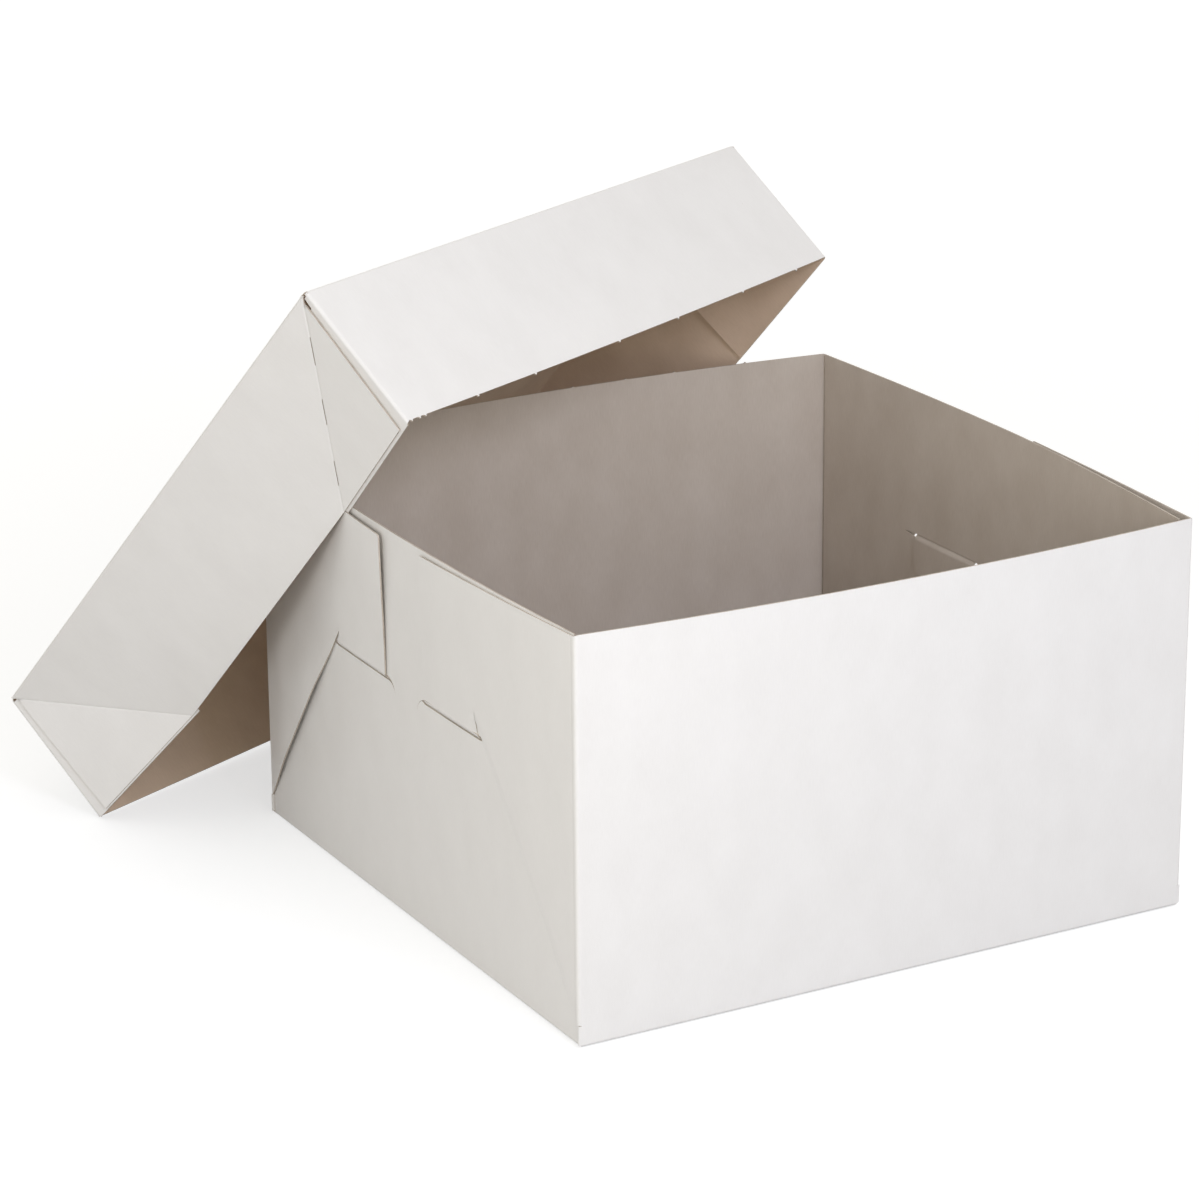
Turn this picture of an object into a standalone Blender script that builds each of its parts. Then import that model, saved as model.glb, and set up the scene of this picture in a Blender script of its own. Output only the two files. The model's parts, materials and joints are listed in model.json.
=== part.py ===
"""Folding cake box of white-lined board: a deep square tray, and a shallow glued lid that leans on it.

Frame: metres, +Z up, +X along the tray's front wall, +Y towards its back wall.
The origin is the middle of the tray's underside, on the table.

Each board blank is creased into panels. A crease runs in the middle of the board's thickness, so a panel
that turns on it stays flush with its neighbour. The panel that carries a crease ends in a half-round bead on
it, and the next panel starts one small gap beyond the bead.

The tray's front and back walls carry corner flaps. They fold round the corners, lie outside the side walls
and lock with a tab that steps through a slot in the side wall. The lid's front and back walls carry glue
flaps inside the side walls, whose corners are gusset triangles beyond diagonal creases.
"""

import math

import bmesh
import bpy
from mathutils import Matrix, Vector

# Driving sizes of the board
BOARD = 0.0006              # thickness of the solid board
GAP = 0.0003                # air between neighbouring panels

# Driving sizes of the tray
INSIDE_WIDTH = 0.254        # between the side walls: a 10 inch cake board
INSIDE_DEPTH = 0.254        # between the front and back walls
TRAY_HEIGHT = 0.153         # table to top edge: 6 inches above the floor board
CORNER_RELIEF = 0.0016      # die-cut relief at the walls' bottom corners

# Driving sizes of the corner flaps, their tabs and the slots
MIDDLE_SPACE = 0.0312       # between the free edges of the two flaps on one side
SLOT_HEIGHT = 0.0937        # lock slot above the table
TAB_WIDTH = 0.0415          # along the slot
TAB_DEPTH = 0.016           # how far the tab's tongue hangs down inside
TAB_ROUND = 0.005           # radius of the tongue's lower corners
SLOT_CLEARANCE = 0.0006     # along the slot, at each end of the tab
TAIL_RUN = 0.0065           # the slot's curved tail, towards the middle of the wall
TAIL_DROP = 0.0063          # and downwards
TAIL_TIP = 0.0003           # half width of the slot at the end of its tail
FREE_EDGE_LAND = 0.0005     # from the tab to the flap's free edge
FLAP_TOP_DROP = 0.0005      # flap top below the wall top, at the crease
FLAP_TOP_TAPER = 0.003      # and how much lower it is at the free edge
FLAP_FOOT = 0.008           # start of the flap's diagonal edge above the table
HOOK_SETBACK = 0.002        # the diagonal edge ends this far before the tab
HOOK_RISE = 0.006           # and this far above the slot
FLAP_ROUND = 0.0015         # radius of the flap's free top corner

# Driving sizes of the lid
LID_DEPTH = 0.061           # outside height of the lid's walls
LID_SIDE_CLEARANCE = 0.0005  # from the tray's corner flaps to the lid's glue flaps
LID_END_CLEARANCE = 0.002   # from the tray's front and back walls to the lid's
GUSSET_SETBACK = 0.002      # from the lid's corner to the cut edge of the gusset
GLUE_LENGTH = 0.0655        # from the lid's corner to the free end of a glue flap, just past the gusset
GLUE_TOP_DROP = 0.002       # the glue flap starts this far below the lid's top

# How the lid leans: turned and twisted against the tray, with one tray corner inside it
LID_TURN = math.radians(21.4)       # about the vertical
LID_TWIST = math.radians(-1.9)      # one lower corner stands on the table, the other hangs just above it
LEAN_FROM_LEFT = 0.0491             # where the tray's corner touches the lid, from the lid's left side
LEAN_FROM_FRONT = 0.1116            # and from the lid's front
TABLE_CLEARANCE = 0.0001            # under the lid's lowest corner

# Fineness of round forms
BEAD_STEPS = 3
ROUND_STEPS = 5
TAIL_STEPS = 6
BEAD_FILL = 0.9             # bead radius over half the board, so that its two sides never meet
WELD = 0.000001
SAME_PLACE = 0.00001

# Planes of the tray, through the middle of the board
HALF_BOARD = BOARD / 2
LAYER = BOARD + GAP                                     # from one layer of board to the next
SIDE_PLANE = INSIDE_WIDTH / 2 + HALF_BOARD              # side walls
END_PLANE = INSIDE_DEPTH / 2 + HALF_BOARD               # front and back walls
FLAP_PLANE = SIDE_PLANE + LAYER                         # corner flaps, outside the side walls
PAST_BEAD = HALF_BOARD + GAP                            # from a crease to the next panel's edge
TRAY_HALF_WIDTH = FLAP_PLANE + HALF_BOARD
TRAY_HALF_DEPTH = END_PLANE + HALF_BOARD

# Lengths along a side wall, from the corner crease
FLAP_LENGTH = END_PLANE - MIDDLE_SPACE / 2
TAB_END = FLAP_LENGTH - FREE_EDGE_LAND
TAB_START = TAB_END - TAB_WIDTH
HOOK = TAB_START - HOOK_SETBACK

# Planes of the lid, in its own frame: origin in the middle of the top panel, +Z out of the top
GLUE_PLANE = TRAY_HALF_WIDTH + LID_SIDE_CLEARANCE + HALF_BOARD
LID_SIDE_PLANE = GLUE_PLANE + LAYER
LID_END_PLANE = TRAY_HALF_DEPTH + LID_END_CLEARANCE + HALF_BOARD
LID_HALF_WIDTH = LID_SIDE_PLANE + HALF_BOARD
LID_HALF_DEPTH = LID_END_PLANE + HALF_BOARD
LID_RIM = LID_DEPTH - HALF_BOARD                        # from the top panel's middle plane to the rim
GUSSET_EDGE = LID_HALF_DEPTH - GUSSET_SETBACK           # cut edge of the gussets
DIAGONAL_STEP = math.sqrt(2)                            # along the rim, for one step across a diagonal

# Azimuths of the walls: each outer face looks along -Y turned by this much
FRONT = 0.0
RIGHT = math.pi / 2
BACK = math.pi
LEFT = 3 * math.pi / 2

# Each corner: its name, the wall that its flap lies on, the flap's direction along that wall as seen from
# outside, and the corner's signs in X and Y
CORNERS = (
    ("front_left", LEFT, -1, -1, -1),
    ("front_right", RIGHT, 1, 1, -1),
    ("back_left", LEFT, 1, -1, 1),
    ("back_right", RIGHT, -1, 1, 1),
)

WHITE_LINED = (0.86, 0.85, 0.83, 1.0)
BOARD_ROUGHNESS = 0.55


def clear_scene():
    for obj in list(bpy.data.objects):
        bpy.data.objects.remove(obj, do_unlink=True)


def new_collection(name):
    group = bpy.data.collections.new(name)
    bpy.context.scene.collection.children.link(group)
    return group


def new_frame(name, group):
    """An empty that carries one blank's panels."""
    frame = bpy.data.objects.new(name, None)
    group.objects.link(frame)
    return frame


def board_material(name):
    """White-lined solid board, one material for each panel."""
    material = bpy.data.materials.new(name + "_board")
    material.use_nodes = True
    shader = material.node_tree.nodes["Principled BSDF"]
    shader.inputs["Base Color"].default_value = WHITE_LINED
    shader.inputs["Roughness"].default_value = BOARD_ROUGHNESS
    shader.inputs["Metallic"].default_value = 0.0
    material.diffuse_color = WHITE_LINED
    return material


def cut_outline(outlines, half_thickness):
    """Extrude flat outlines into one solid mesh: the first is its edge, and the others are holes in it."""
    curve = bpy.data.curves.new("outline", "CURVE")
    curve.dimensions = "2D"
    curve.fill_mode = "BOTH"
    curve.extrude = half_thickness
    for outline in outlines:
        spline = curve.splines.new("POLY")
        spline.points.add(len(outline) - 1)
        for point, (x, y) in zip(spline.points, outline):
            point.co = (x, y, 0, 1)
        spline.use_cyclic_u = True
    guide = bpy.data.objects.new("outline", curve)
    bpy.context.scene.collection.objects.link(guide)
    bpy.context.view_layer.update()
    solid = bpy.data.meshes.new_from_object(guide.evaluated_get(bpy.context.evaluated_depsgraph_get()))
    bpy.data.objects.remove(guide)
    bpy.data.curves.remove(curve)
    mesh = bmesh.new()
    mesh.from_mesh(solid)
    bpy.data.meshes.remove(solid)
    bmesh.ops.remove_doubles(mesh, verts=mesh.verts, dist=WELD)
    bmesh.ops.dissolve_limit(mesh, angle_limit=math.radians(0.5), verts=mesh.verts, edges=mesh.edges)
    return mesh


def bevel(mesh, edges, radius, steps):
    bmesh.ops.bevel(mesh, geom=edges, offset=radius, segments=steps, profile=0.5, affect="EDGES")


def round_bead(mesh, axis, end):
    """Round a panel's end into a half-round bead, where the given coordinate reaches the end's value."""
    def runs_along_end(edge):
        first, second = (vert.co for vert in edge.verts)
        at_end = abs(first[axis] - end) < SAME_PLACE and abs(second[axis] - end) < SAME_PLACE
        level = abs(first.z - second.z) < SAME_PLACE / 10
        return at_end and level and abs(first.z) > HALF_BOARD / 2

    bevel(mesh, [edge for edge in mesh.edges if runs_along_end(edge)], HALF_BOARD * BEAD_FILL, BEAD_STEPS)


def finish_panel(mesh, name, group, carrier, place):
    """Turn a working mesh into a named panel on its carrier, with its origin on its crease."""
    bmesh.ops.recalc_face_normals(mesh, faces=mesh.faces)
    data = bpy.data.meshes.new(name)
    mesh.to_mesh(data)
    mesh.free()
    data.materials.append(board_material(name))
    panel = bpy.data.objects.new(name, data)
    group.objects.link(panel)
    panel.location, panel.rotation_euler = place
    panel.parent = carrier
    return panel


def hang_on(panel, carrier):
    """Let a tray panel ride on another one, where both were placed in the tray's frame."""
    panel.parent = carrier
    panel.matrix_parent_inverse = carrier.matrix_basis.inverted()


def flat(z):
    """Place of a panel that lies flat."""
    return Vector((0, 0, z)), (0, 0, 0)


def upright(x, y, z, azimuth):
    """Place of a standing panel: its X runs to the right along the wall, its Y up and its Z outwards."""
    return Vector((x, y, z)), (math.pi / 2, 0, azimuth)


def rectangle(left, bottom, right, top):
    return [(left, bottom), (right, bottom), (right, top), (left, top)]


def mirrored(points, side):
    """Points laid out to the right of a crease, or to its left where side is -1."""
    return [(side * x, y) for x, y in points]


def arc(centre, radius, start, end, steps):
    """Points along an arc, with its ends given in degrees."""
    angles = [math.radians(start + (end - start) * i / steps) for i in range(steps + 1)]
    return [(centre[0] + radius * math.cos(a), centre[1] + radius * math.sin(a)) for a in angles]


def wall_outline(half_width, foot, top):
    """An upright wall with its two bottom corners cut away."""
    return [
        (-half_width + CORNER_RELIEF, foot), (half_width - CORNER_RELIEF, foot),
        (half_width, foot + CORNER_RELIEF), (half_width, top),
        (-half_width, top), (-half_width, foot + CORNER_RELIEF),
    ]


def slot_outline():
    """A lock slot, from the corner crease and the table: a straight cut, then a tail that curves down."""
    half = HALF_BOARD + GAP
    start = TAB_START - SLOT_CLEARANCE
    tail = TAB_END + SLOT_CLEARANCE
    upper = [(start, half)]
    lower = [(start, -half)]
    for i in range(TAIL_STEPS + 1):
        turn = math.pi / 2 * i / TAIL_STEPS
        width = half + (TAIL_TIP - half) * i / TAIL_STEPS
        x = tail + TAIL_RUN * math.sin(turn)
        y = -TAIL_DROP * (1 - math.cos(turn))
        along = Vector((TAIL_RUN * math.cos(turn), -TAIL_DROP * math.sin(turn))).normalized()
        upper.append((x - along.y * width, y + along.x * width))
        lower.append((x + along.y * width, y - along.x * width))
    return [(x, SLOT_HEIGHT + y) for x, y in lower + upper[::-1]]


def tray_bottom(group, tray):
    """The floor of the tray, inside the beads of its four walls."""
    half_x = SIDE_PLANE - PAST_BEAD
    half_y = END_PLANE - PAST_BEAD
    mesh = cut_outline([rectangle(-half_x, -half_y, half_x, half_y)], HALF_BOARD)
    finish_panel(mesh, "tray_bottom", group, tray, flat(HALF_BOARD))


def tray_end_wall(name, azimuth, y, group, tray):
    """Front or back wall, with a bead on its bottom crease and on both corner creases."""
    foot = -HALF_BOARD
    mesh = cut_outline([wall_outline(TRAY_HALF_WIDTH, foot, TRAY_HEIGHT - HALF_BOARD)], HALF_BOARD)
    round_bead(mesh, 1, foot)
    round_bead(mesh, 0, TRAY_HALF_WIDTH)
    round_bead(mesh, 0, -TRAY_HALF_WIDTH)
    return finish_panel(mesh, name, group, tray, upright(0, y, HALF_BOARD, azimuth))


def tray_side_wall(name, azimuth, x, group, tray):
    """Left or right wall, between the end walls, with a lock slot for each corner flap."""
    foot = -HALF_BOARD
    outlines = [wall_outline(END_PLANE - PAST_BEAD, foot, TRAY_HEIGHT - HALF_BOARD)]
    for side in (-1, 1):
        outlines.append([(u - side * END_PLANE, v - HALF_BOARD) for u, v in mirrored(slot_outline(), side)])
    mesh = cut_outline(outlines, HALF_BOARD)
    round_bead(mesh, 1, foot)
    finish_panel(mesh, name, group, tray, upright(x, 0, HALF_BOARD, azimuth))


def corner_flap(name, azimuth, side, x, y, group, tray):
    """Corner flap: it runs from its crease along the side wall and ends above its tab.

    Its lower edge climbs from the foot of the crease to a small hook beside the tab, and its top edge tapers.
    """
    crease_top = TRAY_HEIGHT - FLAP_TOP_DROP
    free_top = crease_top - FLAP_TOP_TAPER
    above_tab = SLOT_HEIGHT + PAST_BEAD
    outline = [
        (PAST_BEAD, FLAP_FOOT), (HOOK, SLOT_HEIGHT + HOOK_RISE), (TAB_START, SLOT_HEIGHT + HOOK_RISE),
        (TAB_START, above_tab), (FLAP_LENGTH, above_tab),
    ]
    outline += arc((FLAP_LENGTH - FLAP_ROUND, free_top - FLAP_ROUND), FLAP_ROUND, 0, 90, ROUND_STEPS)
    outline += [(PAST_BEAD, crease_top)]
    mesh = cut_outline([mirrored(outline, side)], HALF_BOARD)
    return finish_panel(mesh, name, group, tray, upright(x, y, 0, azimuth))


def lock_tab(name, azimuth, side, x, y, group, tray):
    """The flap's tab: a web that steps inwards through the slot, and a tongue that hangs down inside."""
    outer = HALF_BOARD
    tongue = -2 * LAYER
    section = [
        (outer, HALF_BOARD), (tongue - HALF_BOARD, HALF_BOARD), (tongue - HALF_BOARD, -TAB_DEPTH),
        (tongue + HALF_BOARD, -TAB_DEPTH), (tongue + HALF_BOARD, -HALF_BOARD), (outer, -HALF_BOARD),
    ]
    mesh = cut_outline([section], TAB_WIDTH / 2)

    def at_lower_corner(edge):
        first, second = (vert.co for vert in edge.verts)
        at_foot = max(first.y, second.y) < -TAB_DEPTH + SAME_PLACE
        return at_foot and abs(first.z - second.z) < SAME_PLACE

    bevel(mesh, [edge for edge in mesh.edges if at_lower_corner(edge)], TAB_ROUND, ROUND_STEPS)
    middle = side * (TAB_START + TAB_END) / 2
    section_to_panel = Matrix(((0, 0, 1, middle), (0, 1, 0, SLOT_HEIGHT), (1, 0, 0, 0), (0, 0, 0, 1)))
    bmesh.ops.transform(mesh, matrix=section_to_panel, verts=mesh.verts)
    return finish_panel(mesh, name, group, tray, upright(x, y, 0, azimuth))


def lid_top(group, lid):
    half_x = LID_SIDE_PLANE - PAST_BEAD
    half_y = LID_END_PLANE - PAST_BEAD
    mesh = cut_outline([rectangle(-half_x, -half_y, half_x, half_y)], HALF_BOARD)
    finish_panel(mesh, "lid_top", group, lid, flat(0))


def lid_end_wall(name, azimuth, y, group, lid):
    """Front or back wall of the lid, with beads on its top crease and on the creases of its glue flaps."""
    side = GLUE_PLANE + HALF_BOARD
    mesh = cut_outline([rectangle(-side, -LID_RIM, side, HALF_BOARD)], HALF_BOARD)
    round_bead(mesh, 1, HALF_BOARD)
    round_bead(mesh, 0, side)
    round_bead(mesh, 0, -side)
    finish_panel(mesh, name, group, lid, upright(0, y, 0, azimuth))


def lid_side_wall(name, azimuth, x, group, lid):
    """Left or right wall of the lid: a trapezoid between the two diagonal creases."""
    top = GUSSET_EDGE
    rim = GUSSET_EDGE - LID_RIM
    outline = [
        (-rim, -LID_RIM), (rim, -LID_RIM), (top, 0),
        (top, HALF_BOARD), (-top, HALF_BOARD), (-top, 0),
    ]
    mesh = cut_outline([outline], HALF_BOARD)
    round_bead(mesh, 1, HALF_BOARD)
    finish_panel(mesh, name, group, lid, upright(x, 0, 0, azimuth))


def lid_gusset(name, azimuth, side, x, group, lid):
    """Corner triangle of a creased lid wall, between the diagonal crease and the cut edge at the corner."""
    drop = GAP * DIAGONAL_STEP
    outline = [(GUSSET_EDGE, -drop), (GUSSET_EDGE - LID_RIM + drop, -LID_RIM), (GUSSET_EDGE, -LID_RIM)]
    mesh = cut_outline([mirrored(outline, side)], HALF_BOARD)
    finish_panel(mesh, name, group, lid, upright(x, 0, 0, azimuth))


def glue_flap(name, azimuth, side, x, group, lid):
    """End of a plain lid wall, folded inside a gusset and glued there. It is cut square, past the diagonal."""
    crease = LID_END_PLANE - PAST_BEAD
    free_end = LID_HALF_DEPTH - GLUE_LENGTH
    outline = rectangle(free_end, -LID_RIM, crease, -GLUE_TOP_DROP)
    mesh = cut_outline([mirrored(outline, side)], HALF_BOARD)
    finish_panel(mesh, name, group, lid, upright(x, 0, 0, azimuth))


def lid_rotation(tilt):
    """Turn about the vertical, tilt back about the lid's own X, twist about its own Y."""
    turn = Matrix.Rotation(LID_TURN, 3, "Z")
    lean = Matrix.Rotation(-tilt, 3, "X")
    twist = Matrix.Rotation(LID_TWIST, 3, "Y")
    return turn @ lean @ twist


def lid_place():
    """Lean the lid: its lower left rim corner stands on the table and its top rests on the tray's corner.

    The tilt is found by halving an interval until the rim corner is at the table's height.
    """
    tray_corner = Vector((-TRAY_HALF_WIDTH, TRAY_HALF_DEPTH, TRAY_HEIGHT))
    contact = Vector((LEAN_FROM_LEFT - LID_HALF_WIDTH, LEAN_FROM_FRONT - LID_HALF_DEPTH, -PAST_BEAD))
    rim_corner = Vector((-LID_HALF_WIDTH, LID_HALF_DEPTH, -LID_RIM))
    low = 0.0
    high = math.pi / 2
    for _ in range(60):
        tilt = (low + high) / 2
        height = (tray_corner + lid_rotation(tilt) @ (rim_corner - contact)).z
        if height > TABLE_CLEARANCE:
            low = tilt
        else:
            high = tilt
    rotation = lid_rotation(tilt)
    return tray_corner - rotation @ contact, rotation.to_euler()


def build_tray(group):
    tray = new_frame("tray", group)
    tray_bottom(group, tray)
    end_walls = {
        -1: tray_end_wall("tray_front_wall", FRONT, -END_PLANE, group, tray),
        1: tray_end_wall("tray_back_wall", BACK, END_PLANE, group, tray),
    }
    tray_side_wall("tray_left_wall", LEFT, -SIDE_PLANE, group, tray)
    tray_side_wall("tray_right_wall", RIGHT, SIDE_PLANE, group, tray)
    for corner, azimuth, side, x_sign, y_sign in CORNERS:
        x = x_sign * FLAP_PLANE
        y = y_sign * END_PLANE
        hang_on(corner_flap(corner + "_flap", azimuth, side, x, y, group, tray), end_walls[y_sign])
        hang_on(lock_tab(corner + "_tab", azimuth, side, x, y, group, tray), end_walls[y_sign])


def build_lid(group):
    lid = new_frame("lid", group)
    lid.location, lid.rotation_euler = lid_place()
    lid_top(group, lid)
    lid_end_wall("lid_front_wall", FRONT, -LID_END_PLANE, group, lid)
    lid_end_wall("lid_back_wall", BACK, LID_END_PLANE, group, lid)
    lid_side_wall("lid_left_wall", LEFT, -LID_SIDE_PLANE, group, lid)
    lid_side_wall("lid_right_wall", RIGHT, LID_SIDE_PLANE, group, lid)
    for corner, azimuth, side, x_sign, _ in CORNERS:
        lid_gusset("lid_" + corner + "_gusset", azimuth, -side, x_sign * LID_SIDE_PLANE, group, lid)
        glue_flap("lid_" + corner + "_glue_flap", azimuth, -side, x_sign * GLUE_PLANE, group, lid)


clear_scene()
cake_box = new_collection("cake_box")
build_tray(cake_box)
build_lid(cake_box)
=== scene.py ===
# %% [markdown]
# # A folding cake box in white-lined board
#
# The real box is two die-cut sheets of solid board, 0.6 mm thick, coated white on one side and left a greyish
# brown on the other. Each sheet is creased and folded: one into a deep tray, one into a shallow lid.
# So every piece here is made the same way. A flat outline is drawn in millimetres, a function lays it in
# space, and the sheet is then given its thickness, with a white face, a brown face and a cut edge.

import json

import bpy
import numpy as np
from mathutils import Matrix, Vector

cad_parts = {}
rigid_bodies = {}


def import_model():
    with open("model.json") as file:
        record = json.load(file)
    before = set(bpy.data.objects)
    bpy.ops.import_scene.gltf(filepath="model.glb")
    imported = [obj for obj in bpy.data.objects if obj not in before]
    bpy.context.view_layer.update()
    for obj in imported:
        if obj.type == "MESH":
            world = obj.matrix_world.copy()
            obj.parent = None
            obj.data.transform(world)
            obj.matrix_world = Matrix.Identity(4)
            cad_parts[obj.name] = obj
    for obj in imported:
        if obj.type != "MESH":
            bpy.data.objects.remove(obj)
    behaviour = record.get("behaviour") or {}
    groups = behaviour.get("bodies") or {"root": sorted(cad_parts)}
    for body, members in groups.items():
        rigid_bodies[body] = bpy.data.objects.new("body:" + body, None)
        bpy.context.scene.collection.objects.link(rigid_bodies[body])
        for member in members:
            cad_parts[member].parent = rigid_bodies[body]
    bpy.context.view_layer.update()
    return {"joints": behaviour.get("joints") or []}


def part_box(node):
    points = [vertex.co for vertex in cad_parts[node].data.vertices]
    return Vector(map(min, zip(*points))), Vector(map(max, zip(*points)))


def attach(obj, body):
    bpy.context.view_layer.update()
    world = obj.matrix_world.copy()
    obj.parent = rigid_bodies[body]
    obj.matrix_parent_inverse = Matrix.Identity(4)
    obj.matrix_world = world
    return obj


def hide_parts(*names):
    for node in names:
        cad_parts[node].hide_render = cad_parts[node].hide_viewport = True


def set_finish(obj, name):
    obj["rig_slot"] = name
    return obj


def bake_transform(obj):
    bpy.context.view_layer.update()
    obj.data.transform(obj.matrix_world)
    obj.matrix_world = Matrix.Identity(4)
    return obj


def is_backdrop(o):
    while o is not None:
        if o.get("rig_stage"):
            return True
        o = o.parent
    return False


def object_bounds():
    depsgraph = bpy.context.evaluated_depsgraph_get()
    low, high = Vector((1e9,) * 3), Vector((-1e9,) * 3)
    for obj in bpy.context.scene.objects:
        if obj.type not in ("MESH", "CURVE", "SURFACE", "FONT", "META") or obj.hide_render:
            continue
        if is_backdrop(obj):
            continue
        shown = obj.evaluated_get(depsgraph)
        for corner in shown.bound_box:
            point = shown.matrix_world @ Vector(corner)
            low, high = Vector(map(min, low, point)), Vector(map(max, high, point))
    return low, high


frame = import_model()

# %% [markdown]
# ## The planes of the tray
#
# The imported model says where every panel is, so the planes are read from it and not typed again. A plane here
# is the middle of the board's thickness.


# %% Read the tray's planes
def middle_of(node, axis):
    """Middle of a CAD node's box along one axis, in mm."""
    low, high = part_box(node)
    return 500.0 * (low[axis] + high[axis])


HALF = 0.3                                     # half the board's thickness, mm
FLOOR = middle_of("tray_bottom", 2)            # the bottom panel
END = -middle_of("tray_front_wall", 1)         # front and back walls
SIDE = middle_of("tray_right_wall", 0)         # side walls
FLAP = middle_of("front_right_flap", 0)        # corner flaps, outside the side walls
TOP = 1000.0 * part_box("tray_front_wall")[1][2]
FREE_EDGE = END + 1000.0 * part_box("front_left_flap")[1][1]      # length of a corner flap
TONGUE_MIDDLE = 7.85                           # middle of the hanging tongue, below the slot
SLOT = middle_of("front_left_tab", 2) + TONGUE_MIDDLE
print("floor %.2f, end %.2f, side %.2f, flap %.2f, top %.1f, flap length %.1f, slot %.1f"
      % (FLOOR, END, SIDE, FLAP, TOP, FREE_EDGE, SLOT))

# %% [markdown]
# ## Flat outlines as grids
#
# A die cuts the board flat, so each panel starts as a flat grid of points (a, h): a runs to the right as seen
# from outside, and h runs up. A ruled patch joins two curves with straight lines, which suits board, because
# most outlines are straight and only one edge has a feature in it.


# %% Ruled patches
def spread(*values):
    """The values as arrays of floats, all of one shape."""
    return np.broadcast_arrays(*(np.asarray(v, float) for v in values))


def ruled(along, low, high, rows):
    """Flat patch between a lower and an upper curve over the same a: h = low + t (high - low)."""
    along, low, high = spread(along, low, high)
    h = low + np.linspace(0, 1, rows)[:, None] * (high - low)
    return np.stack([np.broadcast_to(along, h.shape), h], -1)


def ruled_sideways(heights, left, right, columns):
    """Flat patch between a left and a right curve over the same h: a = left + t (right - left)."""
    heights, left, right = spread(heights, left, right)
    a = left[:, None] + np.linspace(0, 1, columns) * (right - left)[:, None]
    return np.stack([a, np.broadcast_to(heights[:, None], a.shape)], -1)


def steps(*stops, every=6.0):
    """Positions between the given stops, at most so many mm apart."""
    parts = [np.linspace(p, q, max(2, int(np.ceil(abs(q - p) / every)) + 1)) for p, q in zip(stops, stops[1:])]
    return np.unique(np.round(np.concatenate(parts), 4))


print("a wall of 12 mm steps has", len(steps(-127, 127, every=12)), "columns")

# %% [markdown]
# ## The finishes of the board
#
# The box shows three surfaces: the coated white face, the uncoated back and the cut edge. The coating is clay
# over paper fibres, so it shows faint streaks along the sheet, a cloudy tone and a few specks. Those effects
# are shared, so each is a node group that gives a mask or a height, and every material sets its own strength.


# %% Helpers for node groups and shader nodes
def node_group(name, inputs, outputs):
    """An empty shader node group with named sockets, and its input and output nodes."""
    group = bpy.data.node_groups.new(name, "ShaderNodeTree")
    for label, kind in inputs:
        group.interface.new_socket(label, in_out="INPUT", socket_type=kind)
    for label, kind in outputs:
        group.interface.new_socket(label, in_out="OUTPUT", socket_type=kind)
    return group, group.nodes.new("NodeGroupInput"), group.nodes.new("NodeGroupOutput")


def node(tree, kind, inputs=None, **settings):
    """A new shader node: first its settings, then a value or a link for each input, by name or number."""
    new = tree.nodes.new("ShaderNode" + kind)
    for setting, value in settings.items():
        setattr(new, setting, value)
    for socket, value in (inputs or {}).items():
        if isinstance(value, bpy.types.NodeSocket):
            tree.links.new(value, new.inputs[socket])
        else:
            new.inputs[socket].default_value = value
    return new


def noise_at(tree, vector, scale, detail=2.0):
    """A noise texture of the board's own coordinates, stretched by three factors per metre."""
    stretched = node(tree, "VectorMath", {0: vector, 1: scale}, operation="MULTIPLY").outputs[0]
    return node(tree, "TexNoise", {"Scale": 1.0, "Detail": detail, "Vector": stretched}).outputs["Fac"]


def weighted(tree, first, second, share):
    """Linear mix of two values: first (1 - share) + second share."""
    return node(tree, "Mix", {"Factor": share, "A": first, "B": second}).outputs["Result"]


print("helpers ready")

# %% [markdown]
# The fibres lie along the machine direction of the sheet, so their noise is stretched: 0.5 mm across and
# several mm long. The clouds are 15 to 30 mm wide and hardly seen, but without them a large face looks dead.

# %% The fibre group
fibres, fibres_in, fibres_out = node_group(
    "fibres_in_board",
    [("Board", "NodeSocketVector")],
    [("Height", "NodeSocketFloat"), ("Tone", "NodeSocketFloat"), ("Clouds", "NodeSocketFloat")],
)
board_at = fibres_in.outputs["Board"]
streaks = noise_at(fibres, board_at, (2400.0, 260.0, 1.0), 3.0)
mottle = noise_at(fibres, board_at, (900.0, 700.0, 1.0), 2.0)
clouds = noise_at(fibres, board_at, (60.0, 34.0, 1.0), 2.0)
fibres.links.new(weighted(fibres, streaks, mottle, 0.45), fibres_out.inputs["Height"])
fibres.links.new(weighted(fibres, streaks, clouds, 0.6), fibres_out.inputs["Tone"])
fibres.links.new(clouds, fibres_out.inputs["Clouds"])
print("fibres_in_board:", len(fibres.nodes), "nodes")

# %% [markdown]
# Recycled board has a few dark specks. A Voronoi texture gives one point to each cell; a speck is drawn only
# where the distance to that point is tiny, and only in the cells whose random value is high.

# %% The speck group
CELLS = 42.0                            # cells in a metre
SPECK_RIM, SPECK_CORE = 0.016, 0.007    # where a speck fades out and where it is full, in cells
NO_SPECK = 0.72                         # share of the cells without a speck

specks, specks_in, specks_out = node_group(
    "specks_in_board", [("Board", "NodeSocketVector")], [("Mask", "NodeSocketFloat")]
)
cells = node(specks, "TexVoronoi", {"Scale": CELLS, "Vector": specks_in.outputs["Board"]})
near = node(specks, "MapRange",
            {"From Min": SPECK_RIM, "From Max": SPECK_CORE, "Value": cells.outputs["Distance"]})
pick = node(specks, "SeparateColor", {"Color": cells.outputs["Color"]})
rare = node(specks, "Math", {0: pick.outputs["Red"], 1: NO_SPECK}, operation="GREATER_THAN")
both = node(specks, "Math", {0: near.outputs["Result"], 1: rare.outputs[0]}, operation="MULTIPLY")
specks.links.new(both.outputs[0], specks_out.inputs["Mask"])
print("specks_in_board:", len(specks.nodes), "nodes")

# %% [markdown]
# A crease is pressed into the board before it is folded. Each mesh carries its distance from the nearest
# pressed line as an attribute in mm, and this group turns that into a groove: 0 on the line, 1 away from it.

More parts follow.
